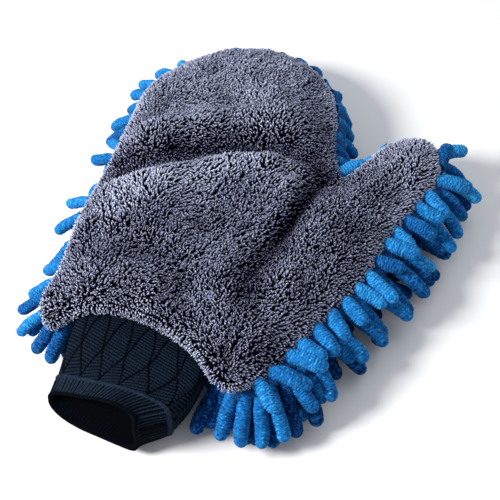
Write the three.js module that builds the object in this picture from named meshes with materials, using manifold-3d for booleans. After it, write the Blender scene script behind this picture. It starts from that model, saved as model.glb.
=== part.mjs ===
// Wash mitt with a thumb: a plush back, a chenille palm with rows of soft noodles, a lining and a
// knitted elastic cuff. Millimetres. It lies palm down, +Z up, +Y towards the fingertips and +X
// towards the thumb. The origin is under the middle of the bounding box, on the resting plane.
import * as THREE from 'three';
import { mergeVertices } from 'three/addons/utils/BufferGeometryUtils.js';
import Module from 'manifold-3d';

const wasm = await Module();
wasm.setup();

// ---- driving dimensions -------------------------------------------------------------------------

const ORIGIN_SHIFT = [0.5, -5.5]; // from the pattern's frame to the middle of the bounding box
const TOP_LIMIT = 80;
const FAR = 400;

// The sewn outline, anticlockwise. It starts at the left of the wrist opening.
const WRIST_POINTS = [[-60, -101], [-46, -95], [-20, -93], [6, -99], [30, -112]];
const SEWN_POINTS = [
  [46, -104], [58, -84], [70, -50], [82, -18], [88, 14], [94, 44], [98, 68], [93, 86], [82, 95],
  [69, 93], [57, 82], [49, 65], [40, 50], [36, 64], [32, 80], [26, 98], [12, 118], [-12, 131],
  [-40, 134], [-66, 123], [-86, 101], [-98, 74], [-96, 38], [-92, 0], [-90, -40], [-83, -72],
  [-80, -94], [-71, -105],
];
const OUTLINE_STEPS = 88;

// Heights of the flattened shell: at its sewn edge, and how much it swells further in.
const PALM_EDGE = 26;
const PALM_SAG = 7;
const PALM_REACH = 38;
const PALM_THICKNESS = 2.4;
const BACK_EDGE = 36;
const BACK_SWELL = 13;
const BACK_EDGE_THICKNESS = 5.5;
const BACK_THICKENING = 0.5;
const BACK_REACH = 42;
const SWELL_POWER = 2.2;
const GRID_CELL = 14;

const LINING_THICKNESS = 1;
const LINING_GAP = 0.4;
const LINING_INSET = 8.5;
const SEAM_WIDTH = [0.5, 6];
const SEAM_HEIGHT = [28.8, 30.1];

// Fold lines: the fingers and the thumb lift about these, and the back bunches up above them.
const HINGE_HEIGHT = 27;
const FOLD_GAP = 0.75;
const FOLD_CLEARANCE = 0.4;
const FOLD_SLOPE = Math.tan(THREE.MathUtils.degToRad(20));
const KNUCKLE_FOLD = { point: [0, 58], turn: 0 };
const THUMB_FOLD = { point: [40, 49.5], turn: -32 };
const NOTCH_X = 40.5;
const THUMB_SIDE = -0.8;

// Noodles
const NOODLE_WIDTH = 9.6;
const NOODLE_LENGTH = 25;
const NOODLE_PITCH = 13.5;
const NOODLE_TAPER = 0.62;
const ROW_PITCH = 13.5;
const ROW_SPINE = 4;
const ROW_GAP = 0.5;
const ROW_END_INSET = 5;
const FAN_ANGLES = [48, 26, 10];

// Cuff: a flattened tube that starts inside the wrist and droops to the resting plane.
const CUFF_ROOT = { x: -22, y: -89, z: 31.8, halfWidth: 38, halfHeight: 8.3 };
const CUFF_END = { x: -29, y: -134, z: 20.5, halfWidth: 29.5, halfHeight: 14.5 };
const CUFF_STRAIGHT = 0.2;
const CUFF_LOWER_LIP = 5.4;
const CUFF_RIGHT_LIP = 4;
const CUFF_SIDE_BULGE = 8;
const CUFF_SIDE_TUCK = 13;
const CUFF_SQUARENESS = 2.7;
const CUFF_SIDES = 28;
const CUFF_RINGS = 7;
const CUFF_WALL = 1.4;
const CUFF_LAYER_GAP = 0.5;
const CUFF_INNER_WALL = 0.9;
const CUFF_ELASTIC_WALL = 0.7;
const HEM_START = 0.8;
const HEM_PROUD = 0.5;
const ELASTIC_SPAN = [0.56, 0.74];

// ---- materials ----------------------------------------------------------------------------------

const cloth = (color, roughness) => new THREE.MeshStandardMaterial({ color, roughness, metalness: 0 });
const plush = cloth(0x6b7080, 0.95);
const chenille = cloth(0x1a65a8, 0.9);
const chenilleGround = cloth(0x12508a, 0.9);
const liningMesh = cloth(0x2a3038, 0.85);
const knit = cloth(0x10161f, 0.9);
const knitRib = cloth(0x131b26, 0.9);
const elasticBand = cloth(0x202428, 0.7);
const seamThread = cloth(0x232a36, 0.8);

// ---- solids and meshes --------------------------------------------------------------------------

function toSolid(geometry) {
  const bare = geometry.index ? geometry.toNonIndexed() : geometry.clone();
  bare.deleteAttribute('normal');
  bare.deleteAttribute('uv');
  const merged = mergeVertices(bare, 1e-4);
  const vertProperties = new Float32Array(merged.attributes.position.array);
  const triVerts = new Uint32Array(merged.index.array);
  return new wasm.Manifold(new wasm.Mesh({ numProp: 3, vertProperties, triVerts }));
}

// Cuts can leave specks beside the piece that is meant, so only its largest body is kept.
function toGeometry(solid) {
  const bodies = solid.decompose();
  const body = bodies.reduce((a, b) => (b.volume() > a.volume() ? b : a));
  const mesh = body.getMesh();
  const geometry = new THREE.BufferGeometry();
  geometry.setAttribute('position', new THREE.BufferAttribute(mesh.vertProperties, 3));
  geometry.setIndex(new THREE.BufferAttribute(mesh.triVerts, 1));
  geometry.computeVertexNormals();
  return geometry;
}

function gridGeometry(points, faces) {
  const geometry = new THREE.BufferGeometry();
  geometry.setAttribute('position', new THREE.Float32BufferAttribute(points.flat(), 3));
  geometry.setIndex(faces.flat());
  geometry.computeVertexNormals();
  return geometry;
}

const mitt = new THREE.Group();
mitt.position.set(ORIGIN_SHIFT[0], ORIGIN_SHIFT[1], 0);

function addMesh(name, geometry, material) {
  const mesh = new THREE.Mesh(geometry, material);
  mesh.name = name;
  mitt.add(mesh);
}

// ---- outline and heights ------------------------------------------------------------------------

function closedSpline(points, steps) {
  const curve = new THREE.CatmullRomCurve3(
    points.map(([x, y]) => new THREE.Vector3(x, y, 0)), true, 'centripetal');
  return curve.getSpacedPoints(steps).slice(0, steps).map((p) => new THREE.Vector2(p.x, p.y));
}

// The outline moved inwards: each control point shifts along the normal of its two neighbours.
function outlineInset(distance) {
  const all = [...WRIST_POINTS, ...SEWN_POINTS];
  const moved = all.map(([x, y], i) => {
    const before = all[(i + all.length - 1) % all.length];
    const after = all[(i + 1) % all.length];
    const along = new THREE.Vector2(after[0] - before[0], after[1] - before[1]).normalize();
    return [x - along.y * distance, y + along.x * distance];
  });
  return closedSpline(moved, OUTLINE_STEPS);
}

function distanceToSewnEdge(x, y) {
  let nearest = Infinity;
  for (let i = 0; i + 1 < SEWN_POINTS.length; i += 1) {
    const [ax, ay] = SEWN_POINTS[i];
    const [bx, by] = SEWN_POINTS[i + 1];
    const dx = bx - ax;
    const dy = by - ay;
    const t = THREE.MathUtils.clamp(((x - ax) * dx + (y - ay) * dy) / (dx * dx + dy * dy), 0, 1);
    nearest = Math.min(nearest, Math.hypot(x - ax - t * dx, y - ay - t * dy));
  }
  return nearest;
}

function insideOutline(x, y, outline) {
  let inside = false;
  for (let i = 0; i < outline.length; i += 1) {
    const a = outline[i];
    const b = outline[(i + 1) % outline.length];
    if (a.y > y !== b.y > y && x < a.x + ((y - a.y) * (b.x - a.x)) / (b.y - a.y)) inside = !inside;
  }
  return inside;
}

const fullOutline = outlineInset(0);

const inWristMouth = (x, y) => (
  x > WRIST_POINTS[0][0] - GRID_CELL && x < WRIST_POINTS.at(-1)[0] + GRID_CELL
  && y < WRIST_POINTS[2][1]);

// From 0 at the sewn edge and outside it to 1 well inside, and through the wrist opening.
function swell(x, y, reach) {
  const open = insideOutline(x, y, fullOutline) || inWristMouth(x, y);
  const depth = open ? distanceToSewnEdge(x, y) : 0;
  return 1 - (1 - Math.min(depth / reach, 1)) ** SWELL_POWER;
}

const palmUnder = (x, y) => PALM_EDGE - PALM_SAG * swell(x, y, PALM_REACH);
const palmTop = (x, y) => palmUnder(x, y) + PALM_THICKNESS;
const backTop = (x, y) => BACK_EDGE + BACK_SWELL * swell(x, y, BACK_REACH);
const backUnder = (x, y) => (
  backTop(x, y) - BACK_EDGE_THICKNESS - BACK_THICKENING * swell(x, y, BACK_REACH));

// A solid between two height fields, over a rectangle that is larger than the mitt.
function blockBetween(lower, upper) {
  const [x0, x1, y0, y1] = [-132, 132, -132, 156];
  const columns = Math.round((x1 - x0) / GRID_CELL);
  const rows = Math.round((y1 - y0) / GRID_CELL);
  const points = [];
  const faces = [];
  for (const height of [lower, upper]) {
    for (let j = 0; j <= rows; j += 1) {
      for (let i = 0; i <= columns; i += 1) {
        const x = x0 + ((x1 - x0) * i) / columns;
        const y = y0 + ((y1 - y0) * j) / rows;
        points.push([x, y, height(x, y)]);
      }
    }
  }
  const at = (i, j, layer) => layer * (columns + 1) * (rows + 1) + j * (columns + 1) + i;
  const quad = (a, b, c, d) => faces.push([a, b, c], [a, c, d]);
  for (let j = 0; j < rows; j += 1) {
    for (let i = 0; i < columns; i += 1) {
      quad(at(i, j, 1), at(i + 1, j, 1), at(i + 1, j + 1, 1), at(i, j + 1, 1));
      quad(at(i, j, 0), at(i, j + 1, 0), at(i + 1, j + 1, 0), at(i + 1, j, 0));
    }
  }
  for (let i = 0; i < columns; i += 1) {
    quad(at(i, 0, 0), at(i + 1, 0, 0), at(i + 1, 0, 1), at(i, 0, 1));
    quad(at(i + 1, rows, 0), at(i, rows, 0), at(i, rows, 1), at(i + 1, rows, 1));
  }
  for (let j = 0; j < rows; j += 1) {
    quad(at(0, j + 1, 0), at(0, j, 0), at(0, j, 1), at(0, j + 1, 1));
    quad(at(columns, j, 0), at(columns, j + 1, 0), at(columns, j + 1, 1), at(columns, j, 1));
  }
  return toSolid(gridGeometry(points, faces));
}

function prism(points, low, high) {
  const shape = new THREE.Shape(points);
  const geometry = new THREE.ExtrudeGeometry(shape, { depth: high - low, bevelEnabled: false });
  return toSolid(geometry.translate(0, 0, low));
}

// ---- fold lines ---------------------------------------------------------------------------------

// A prism along a fold line. Its profile's points are [distance across the fold, height].
function alongFold(fold, profile, from, to) {
  const turn = THREE.MathUtils.degToRad(fold.turn);
  const along = new THREE.Vector3(Math.cos(turn), Math.sin(turn), 0);
  const across = new THREE.Vector3(-Math.sin(turn), Math.cos(turn), 0);
  const shape = new THREE.Shape(profile.map(([a, z]) => new THREE.Vector2(a, z)));
  const geometry = new THREE.ExtrudeGeometry(shape, { depth: to - from, bevelEnabled: false });
  const frame = new THREE.Matrix4().makeBasis(across, new THREE.Vector3(0, 0, 1), along);
  frame.setPosition(fold.point[0] + along.x * from, fold.point[1] + along.y * from, 0);
  return toSolid(geometry.applyMatrix4(frame));
}

const slopeRise = (TOP_LIMIT - HINGE_HEIGHT) * FOLD_SLOPE;

// Everything beyond the parent side of the fold, with the wedge that the fold closes.
const beyondFold = (fold, from, to) => alongFold(fold, [
  [-FOLD_GAP, -1], [FAR, -1], [FAR, TOP_LIMIT], [-FOLD_GAP - slopeRise, TOP_LIMIT],
  [-FOLD_GAP, HINGE_HEIGHT],
], from, to);

// The moving side of the fold.
const movingSide = (fold, from, to) => alongFold(fold, [
  [FOLD_GAP, -1], [FAR, -1], [FAR, TOP_LIMIT], [FOLD_GAP + slopeRise, TOP_LIMIT],
  [FOLD_GAP, HINGE_HEIGHT],
], from, to);

// The strip of the back that bunches up when the fold closes.
function foldStrip(fold, from, to) {
  const half = FOLD_GAP - FOLD_CLEARANCE;
  return alongFold(fold, [
    [-half, HINGE_HEIGHT], [half, HINGE_HEIGHT], [half + slopeRise, TOP_LIMIT],
    [-half - slopeRise, TOP_LIMIT],
  ], from, to);
}

const KNUCKLE_SPAN = [-FAR, NOTCH_X];
const THUMB_SPAN = [THUMB_SIDE, FAR];
const handCut = beyondFold(KNUCKLE_FOLD, ...KNUCKLE_SPAN)
  .add(beyondFold(THUMB_FOLD, THUMB_SIDE - FOLD_GAP, FAR));
const fingersZone = movingSide(KNUCKLE_FOLD, ...KNUCKLE_SPAN);
const thumbZone = movingSide(THUMB_FOLD, ...THUMB_SPAN);

function addInZones(name, solid, material) {
  addMesh(`${name}_hand`, toGeometry(solid.subtract(handCut)), material);
  addMesh(`${name}_fingers`, toGeometry(solid.intersect(fingersZone)), material);
  addMesh(`${name}_thumb`, toGeometry(solid.intersect(thumbZone)), material);
}

// ---- shell --------------------------------------------------------------------------------------

function addPanels() {
  const cut = prism(fullOutline, 0, TOP_LIMIT);
  const back = blockBetween(backUnder, backTop).intersect(cut);
  const palm = blockBetween(palmUnder, palmTop).intersect(cut);
  addInZones('back_panel', back, plush);
  addInZones('palm_panel', palm, chenilleGround);
  const knuckleStrip = foldStrip(KNUCKLE_FOLD, ...KNUCKLE_SPAN);
  const thumbStrip = foldStrip(THUMB_FOLD, ...THUMB_SPAN);
  addMesh('back_fold_knuckles', toGeometry(back.intersect(knuckleStrip)), plush);
  addMesh('back_fold_thumb', toGeometry(back.intersect(thumbStrip)), plush);
}

function addLinings() {
  const cut = prism(outlineInset(LINING_INSET), 0, TOP_LIMIT);
  const offset = (height, rise) => (x, y) => height(x, y) + rise;
  const thick = LINING_GAP + LINING_THICKNESS;
  const back = blockBetween(offset(backUnder, -thick), offset(backUnder, -LINING_GAP));
  const palm = blockBetween(offset(palmTop, LINING_GAP), offset(palmTop, thick));
  addInZones('back_lining', back.intersect(cut), liningMesh);
  addInZones('palm_lining', palm.intersect(cut), liningMesh);
}

// The seam allowance between the back and the palm, all round except at the wrist opening.
function addEdgeSeam() {
  const outer = prism(outlineInset(SEAM_WIDTH[0]), ...SEAM_HEIGHT);
  const inner = prism(outlineInset(SEAM_WIDTH[1]), SEAM_HEIGHT[0] - 1, SEAM_HEIGHT[1] + 1);
  const wristMouth = prism(
    [[-68, -130], [38, -130], [38, -96], [-68, -96]].map(([x, y]) => new THREE.Vector2(x, y)),
    SEAM_HEIGHT[0] - 1, SEAM_HEIGHT[1] + 1);
  const seam = outer.subtract(inner).subtract(wristMouth);
  const halves = { left: [-FAR, 0], right: [0, FAR] };
  for (const [side, span] of Object.entries(halves)) {
    const box = new THREE.BoxGeometry(span[1] - span[0], 2 * FAR, FAR);
    box.translate((span[0] + span[1]) / 2, 0, 0);
    const half = seam.intersect(toSolid(box));
    addMesh(`edge_seam_hand_${side}`, toGeometry(half.subtract(handCut)), seamThread);
  }
  addMesh('edge_seam_fingers', toGeometry(seam.intersect(fingersZone)), seamThread);
  addMesh('edge_seam_thumb', toGeometry(seam.intersect(thumbZone)), seamThread);
}

// ---- noodle rows --------------------------------------------------------------------------------

const underPalm = blockBetween(() => 0, (x, y) => palmUnder(x, y) - ROW_GAP);

// Where the outline is narrowest over a row's thickness, on one side of x = split or the other.
function rowLimits(y, lowX, highX) {
  const limits = [lowX, highX];
  for (const level of [y - NOODLE_WIDTH / 2, y, y + NOODLE_WIDTH / 2]) {
    const crossings = [];
    fullOutline.forEach((a, i) => {
      const b = fullOutline[(i + 1) % fullOutline.length];
      if (a.y > level !== b.y > level) {
        crossings.push(a.x + ((level - a.y) * (b.x - a.x)) / (b.y - a.y));
      }
    });
    const within = crossings.filter((x) => x > lowX - 1 && x < highX + 1);
    const middle = (lowX + highX) / 2;
    const left = within.filter((x) => x < middle);
    const right = within.filter((x) => x >= middle);
    if (left.length) limits[0] = Math.max(limits[0], Math.max(...left));
    if (right.length) limits[1] = Math.min(limits[1], Math.min(...right));
  }
  return limits;
}

// One tufted row: a comb of noodles on a narrow spine, cut to the underside of the palm panel.
// row: y, from and to in x, tilt in degrees (towards +Y), fan: which ends splay outwards.
function rowGeometry(row) {
  const first = row.from + (row.fan.includes('left') ? ROW_END_INSET : NOODLE_WIDTH / 2);
  const last = row.to - (row.fan.includes('right') ? ROW_END_INSET : NOODLE_WIDTH / 2);
  const count = Math.max(Math.round((last - first) / NOODLE_PITCH) + 1, 2);
  const half = NOODLE_WIDTH / 2;
  const tip = half * NOODLE_TAPER;
  const top = PALM_EDGE + 1;
  const outline = [[first - half, top]];
  for (let i = 0; i < count; i += 1) {
    const x = first + ((last - first) * i) / (count - 1);
    let lean = 0;
    if (row.fan.includes('left')) lean -= FAN_ANGLES[i] ?? 0;
    if (row.fan.includes('right')) lean += FAN_ANGLES[count - 1 - i] ?? 0;
    const angle = THREE.MathUtils.degToRad(lean);
    const root = palmUnder(x, row.y) - ROW_SPINE;
    const length = NOODLE_LENGTH - ROW_SPINE;
    const across = [Math.cos(angle), Math.sin(angle)];
    const end = [x + Math.sin(angle) * length, root - Math.cos(angle) * length];
    const waist = [x + Math.sin(angle) * (length - half), root - Math.cos(angle) * (length - half)];
    outline.push([x - half, root]);
    outline.push([waist[0] - across[0] * half, waist[1] - across[1] * half]);
    outline.push([end[0] - across[0] * tip, end[1] - across[1] * tip]);
    outline.push([end[0] + across[0] * tip, end[1] + across[1] * tip]);
    outline.push([waist[0] + across[0] * half, waist[1] + across[1] * half]);
    outline.push([x + half, root]);
  }
  outline.push([last + half, top]);
  const shape = new THREE.Shape(outline.map(([x, z]) => new THREE.Vector2(x, z)));
  const geometry = new THREE.ExtrudeGeometry(shape, { depth: NOODLE_WIDTH, bevelEnabled: false });
  geometry.translate(0, -top, -half);
  geometry.rotateX(Math.PI / 2);
  geometry.rotateX(THREE.MathUtils.degToRad(row.tilt));
  geometry.translate(0, row.y, top);
  return toGeometry(toSolid(geometry).intersect(underPalm));
}

const foldLimit = (y, side) => {
  const turn = THREE.MathUtils.degToRad(THUMB_FOLD.turn);
  const margin = FOLD_GAP + 0.75;
  const corner = y - side * (NOODLE_WIDTH / 2);
  const across = side * margin - (corner - THUMB_FOLD.point[1]) * Math.cos(turn);
  return THUMB_FOLD.point[0] + across / -Math.sin(turn);
};

const firstAboveKnuckles = KNUCKLE_FOLD.point[1] + ROW_PITCH / 2;
const firstBelowKnuckles = KNUCKLE_FOLD.point[1] - ROW_PITCH / 2;

function addRows(prefix, rows) {
  rows.forEach((row, i) => {
    const name = `noodle_row_${prefix}_${String(i + 1).padStart(2, '0')}`;
    addMesh(name, rowGeometry(row), chenille);
  });
}

function handRows() {
  const rows = [];
  for (let i = 0; i < 11; i += 1) {
    const y = firstBelowKnuckles - i * ROW_PITCH;
    const stop = foldLimit(y, -1);
    const [from, edge] = rowLimits(y, -110, y > 46 ? NOTCH_X : 110);
    const fan = edge < stop ? ['left', 'right'] : ['left'];
    rows.push({ y, from, to: Math.min(edge, stop), fan, tilt: i === 10 ? -14 : 0 });
  }
  const lobeY = firstBelowKnuckles - 11 * ROW_PITCH;
  rows.push({ y: lobeY, from: -79, to: -56, fan: ['left'], tilt: -40 });
  rows.push({ y: lobeY, from: 10, to: 50, fan: ['right'], tilt: -40 });
  return rows;
}

function fingerRows() {
  const tilts = [0, 0, 0, 8, 26, 56];
  const crowding = [0, 0, 0, 0, 1.5, 5];
  return tilts.map((tilt, i) => {
    const y = firstAboveKnuckles + i * ROW_PITCH - crowding[i];
    const [from, to] = rowLimits(y, -110, NOTCH_X);
    return { y, from, to, fan: ['left', 'right'], tilt };
  });
}

function thumbRows() {
  const levels = [37.75, 51.25, 64.75, 78.25, 88];
  const tilts = [0, 0, 0, 10, 38];
  return levels.map((y, i) => {
    const [left, to] = rowLimits(y, NOTCH_X, 110);
    const from = Math.max(left, foldLimit(y, 1));
    return { y, from: from + 1, to, fan: ['right'], tilt: tilts[i] };
  });
}

// ---- cuff ---------------------------------------------------------------------------------------

// A point of the cuff: t runs from root to hem, angle round it, and depth is inwards from outside.
function cuffPoint(t, angle, depth) {
  const square = (value) => Math.sign(value) * Math.abs(value) ** (2 / CUFF_SQUARENESS);
  const bulge = CUFF_SIDE_BULGE * THREE.MathUtils.smoothstep(t, 0.1, 0.7)
    - CUFF_SIDE_TUCK * THREE.MathUtils.smoothstep(t, 0.75, 1);
  const side = bulge * ((1 + Math.cos(angle)) / 2) ** 2;
  const ease = THREE.MathUtils.smoothstep(t, CUFF_STRAIGHT, 1);
  const mix = (key, f) => THREE.MathUtils.lerp(CUFF_ROOT[key], CUFF_END[key], f);
  const lip = CUFF_LOWER_LIP * (1 - Math.sin(angle)) + CUFF_RIGHT_LIP * (1 + Math.cos(angle));
  return [
    mix('x', ease) + side + (mix('halfWidth', ease) - depth) * square(Math.cos(angle)),
    mix('y', t) - (lip / 2) * t * t,
    mix('z', ease) + (mix('halfHeight', ease) - depth) * square(Math.sin(angle)),
  ];
}

// A closed tube wall along the cuff between two depths, which may change along it.
function cuffWall(span, outside, inside) {
  const points = [];
  const faces = [];
  const rings = Math.max(Math.round(CUFF_RINGS * (span[1] - span[0])), 1);
  for (const depth of [outside, inside]) {
    for (let j = 0; j <= rings; j += 1) {
      const t = span[0] + ((span[1] - span[0]) * j) / rings;
      for (let i = 0; i < CUFF_SIDES; i += 1) {
        points.push(cuffPoint(t, (i / CUFF_SIDES) * 2 * Math.PI, depth(t)));
      }
    }
  }
  const at = (i, j, layer) => (layer * (rings + 1) + j) * CUFF_SIDES + (i % CUFF_SIDES);
  const quad = (a, b, c, d) => faces.push([a, b, c], [a, c, d]);
  for (let i = 0; i < CUFF_SIDES; i += 1) {
    for (let j = 0; j < rings; j += 1) {
      quad(at(i, j, 0), at(i + 1, j, 0), at(i + 1, j + 1, 0), at(i, j + 1, 0));
      quad(at(i, j, 1), at(i, j + 1, 1), at(i + 1, j + 1, 1), at(i + 1, j, 1));
    }
    quad(at(i, 0, 1), at(i + 1, 0, 1), at(i + 1, 0, 0), at(i, 0, 0));
    quad(at(i, rings, 0), at(i + 1, rings, 0), at(i + 1, rings, 1), at(i, rings, 1));
  }
  return gridGeometry(points, faces);
}

function addCuff() {
  const elasticRoom = (t) => (CUFF_ELASTIC_WALL + CUFF_LAYER_GAP) * THREE.MathUtils.smoothstep(t, 0.1, 0.5);
  const innerOutside = (t) => CUFF_WALL + CUFF_LAYER_GAP + elasticRoom(t);
  const innerInside = (t) => innerOutside(t) + CUFF_INNER_WALL;
  const hemGap = 0.01;
  const elasticOutside = () => CUFF_WALL + CUFF_LAYER_GAP;
  const elasticInside = () => CUFF_WALL + CUFF_LAYER_GAP + CUFF_ELASTIC_WALL - 0.05;
  addMesh('cuff_outer_knit', cuffWall([0, HEM_START - hemGap], () => 0, () => CUFF_WALL), knit);
  addMesh('cuff_inner_layer', cuffWall([0.02, HEM_START - hemGap], innerOutside, innerInside), knit);
  addMesh('cuff_elastic', cuffWall(ELASTIC_SPAN, elasticOutside, elasticInside), elasticBand);
  addMesh('cuff_hem', cuffWall([HEM_START, 1], () => -HEM_PROUD, innerInside), knitRib);
}

// ---- the mitt -----------------------------------------------------------------------------------

addPanels();
addLinings();
addEdgeSeam();
addRows('hand', handRows());
addRows('fingers', fingerRows());
addRows('thumb', thumbRows());
addCuff();

export default mitt;
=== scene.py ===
import math

import bpy
import numpy as np
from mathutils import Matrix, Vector
from mathutils.geometry import delaunay_2d_cdt


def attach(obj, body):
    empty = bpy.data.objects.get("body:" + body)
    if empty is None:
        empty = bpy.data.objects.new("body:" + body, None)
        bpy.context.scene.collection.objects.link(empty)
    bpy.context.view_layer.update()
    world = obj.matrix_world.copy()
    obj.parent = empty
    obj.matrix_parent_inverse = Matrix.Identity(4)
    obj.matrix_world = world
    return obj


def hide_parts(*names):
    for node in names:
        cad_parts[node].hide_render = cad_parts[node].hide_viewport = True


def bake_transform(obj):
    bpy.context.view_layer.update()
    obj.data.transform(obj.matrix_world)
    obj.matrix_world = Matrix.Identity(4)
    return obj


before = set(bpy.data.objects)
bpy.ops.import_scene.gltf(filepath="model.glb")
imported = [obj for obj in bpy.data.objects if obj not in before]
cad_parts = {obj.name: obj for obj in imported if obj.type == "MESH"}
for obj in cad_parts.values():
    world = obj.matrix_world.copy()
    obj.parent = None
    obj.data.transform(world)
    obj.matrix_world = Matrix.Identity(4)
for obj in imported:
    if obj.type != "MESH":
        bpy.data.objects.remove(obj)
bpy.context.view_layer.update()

rng = np.random.default_rng(20240611)

# ---- driving dimensions ----

SHIFT = np.array([0.5, -5.5, 0.0])

# The outline, anticlockwise: the open wrist from left to right, then the sewn edge round to it again.
WRIST = [[-60, -101], [-46, -95], [-20, -93], [6, -99], [30, -112]]
SEWN = [
    [46, -104], [58, -84], [70, -50], [82, -18], [88, 14], [94, 44], [98, 68], [93, 86], [82, 95],
    [69, 93], [57, 82], [49, 65], [40, 50], [36, 64], [32, 80], [26, 98], [12, 118], [-12, 131],
    [-40, 134], [-66, 123], [-86, 101], [-98, 74], [-96, 38], [-92, 0], [-90, -40], [-83, -72],
    [-80, -94], [-71, -105],
]
# How far to each side of the wrist's points its opening still counts as inside.
MOUTH_MARGIN = 14
# Rows of an even triangular grid lie this share of its spacing apart.
ROW_SHARE = 0.87
SWELL_POWER = 2.2
# Height at the edge, how far the middle sags or swells from it, and the width of that slope.
PALM_EDGE, PALM_SAG, PALM_REACH = 26, 7, 38
BACK_EDGE, BACK_SWELL, BACK_REACH = 36, 13, 42
# Ground cloth of the palm and linings: spacing of their points, thickness, and where they lie.
PALM_SPACING, PALM_THICKNESS, PALM_LIFT, PALM_INSET = 3.0, 1.6, 2.2, 1.2
LINER_SPACING, LINER_THICKNESS, LINER_INSET = 4.0, 0.8, 8.5
BACK_LINER_DROP, PALM_LINER_LIFT = 2.6, 4.0

# Where the pieces meet.
KNUCKLE_LINE = 52
THUMB_POINT = np.array([40.0, 49.5])
THUMB_ALONG = np.array([math.cos(math.radians(-32)), math.sin(math.radians(-32))])
THUMB_ACROSS = np.array([-THUMB_ALONG[1], THUMB_ALONG[0]])
THUMB_LINE = -5
THUMB_SIDE = -3

# Pile of the back
# How far the pile's border lies inside the outline, at each point of WRIST and then of SEWN.
PILE_INSETS = [
    2.3, 2.3, 2.3, 2.3, 3, 8, 10, 9, 10, 11, 9.5, 7.5, 6, 3, 1.5, 1, 1.5, 5, 7.5, 9, 8.5, 6.5, 3, 2,
    1.5, 1, 0.5, 0.5, 0.5, 0.5, 0, -2, -1.5,
]
PILE_SINK = 3.4
PILE_ROLL = 2.8
PILE_PITCH = 1.44
PILE_LENGTH = 3.3
PILE_RADIUS = 0.31
# How far a fibre bends, in degrees: its mean and spread, and its range on the rolled rows.
PILE_BEND, ROLLED_BEND = (37, 9), (10, 55)
LENGTH_RANGE, RADIUS_RANGE = (0.82, 1.18), (0.85, 1.15)
ROLLED_SHARE = 0.86
# How light the pile is all over, and what patches, crests and places add to it; the folds, fingertips and
# border add painted light and shade.
LIGHT_BASE, LIGHT_PATCHES, PAINTED_FOLD_LIGHT, LIGHT_GRAIN = 0.44, 0.14, 0.68, 0.2
PAINTED_FINGERTIP_LIGHT, LIGHT_THUMB, PAINTED_BORDER_SHEEN = 0.34, 0.8, 0.22
# Where the fibres of one root stand beside it.
BUNDLE = (-0.2, 0.2)
# Where each rolled row of fibres stands on the border, in degrees up from level.
ROLLED_ROWS = (-25, -3, 19, 41, 63)
# What stands in for the nearness to the border of the fibres on the rolled rows.
ROLLED = -0.01
# How far the border's pull on the fibres reaches, as a spread in square millimetres.
BORDER_PULL = 80
# The pile is split at these heights up the pattern.
PILE_BANDS = {"hand": [-66, -30, 4, 30], "fingers": [74, 98], "thumb": [44]}
# Each fibre's rings: how far along it, and their share of its radius.
FIBRE_SIDES = 4
FIBRE_STEPS = np.array([0.0, 0.5, 0.8])
FIBRE_RADII = np.array([0.7, 1.0, 0.95])
GROUND_SPACING = 2.2
GROUND_THICKNESS = 1.2

# Folds of the back: height, half width on the left and on the right of its line, and the line.
FOLDS = [
    (-10.5, 13, 5, [[34, 44], [27, 17], [26, -2], [20, -27]]),
    (-5, 4, 2.6, [[36, 45], [29, 22], [26, 2], [22, -20]]),
    (-7.5, 12, 6, [[20, -27], [19, -51], [21, -78]]),
    (4, 9, 14, [[48, 30], [40, 0], [34, -35], [36, -64]]),
    (9, 5, 19, [[-90, -35], [-77, -20], [-56, -6], [-32, 11], [-13, 24], [6, 30], [22, 31]]),
    (-9.5, 15, 6, [[-92, -6], [-65, 10], [-45, 22], [-26, 33], [-1, 43], [20, 44]]),
    (6.5, 10, 13, [[-91, 20], [-61, 38], [-32, 52], [-7, 65], [12, 74]]),
    (-4, 3.4, 5, [[26, 28], [12, 23], [-4, 16]]),
    (-3.5, 6, 10, [[-78, -52], [-50, -48], [-22, -54]]),
    (3.4, 5, 7, [[-30, -60], [-26, -78], [-20, -96]]),
    (-2.4, 5, 6, [[-12, -52], [-10, -66], [-6, -80]]),
    (2.4, 5, 7, [[-56, -62], [-54, -80], [-52, -96]]),
]

# Noodles
NOODLE_RADIUS = 4.15
NOODLE_LENGTH = 26
GRAIN_PITCH = 1.5
INNER_PITCH = 11.6
EDGE_SHAPE = dict(rings=50, sides=28, grain=0.54)
INNER_SHAPE = dict(rings=24, sides=16, grain=0.26)
ROOT_JITTER = 1.4
# How far the roots stay from the wrist, on the edge and under the palm, and the latter from the edge.
EDGE_WRIST_GAP, INNER_WRIST_GAP, INNER_EDGE_GAP = 15, 20, 27
# The share of noodles that the two upper tiers lack on the left.
SPARSE_SHARE = 0.25
# Where a noodle's round tip begins along it, and the share that is left for it.
TIP_START, TIP_SHARE = 0.81, 0.19
ROW_PITCH = 13.5
HAND_ROWS = [51.25 - ROW_PITCH * i for i in range(11)]
FINGER_ROWS = [64.75, 78.25, 91.75, 105.25, 117.25, 127.25]
THUMB_ROWS = [37.75, 51.25, 64.75, 78.25, 88.0]
WRIST_ROW = -97.25
GAP_MIDDLE = np.array([48.0, 106.0])
# Heights of the roots: above the palm's underside, of the first tier and beside the cuff.
ROOT_LIFT, FIRST_TIER_HEIGHT, CUFF_SIDE_HEIGHT = 0.8, 29.5, 27.0

TIERS = [
    # inset, spacing, first and last angle from straight down, length, how far headings wander, and shading
    # tone: painted shade that darkens the lower tiers, a touch of painted light on the top one
    (2.6, 11.4, 99, 70, 22, 0.42, 0.2),
    (4.0, 10.4, 78, 48, 27.5, 0.26, -0.3),
    (10.5, 10.4, 60, 65, 34, 0.26, -1.6),
    (19.0, 12.0, 40, 60, 30, 0.3, -2.2),
]
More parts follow.
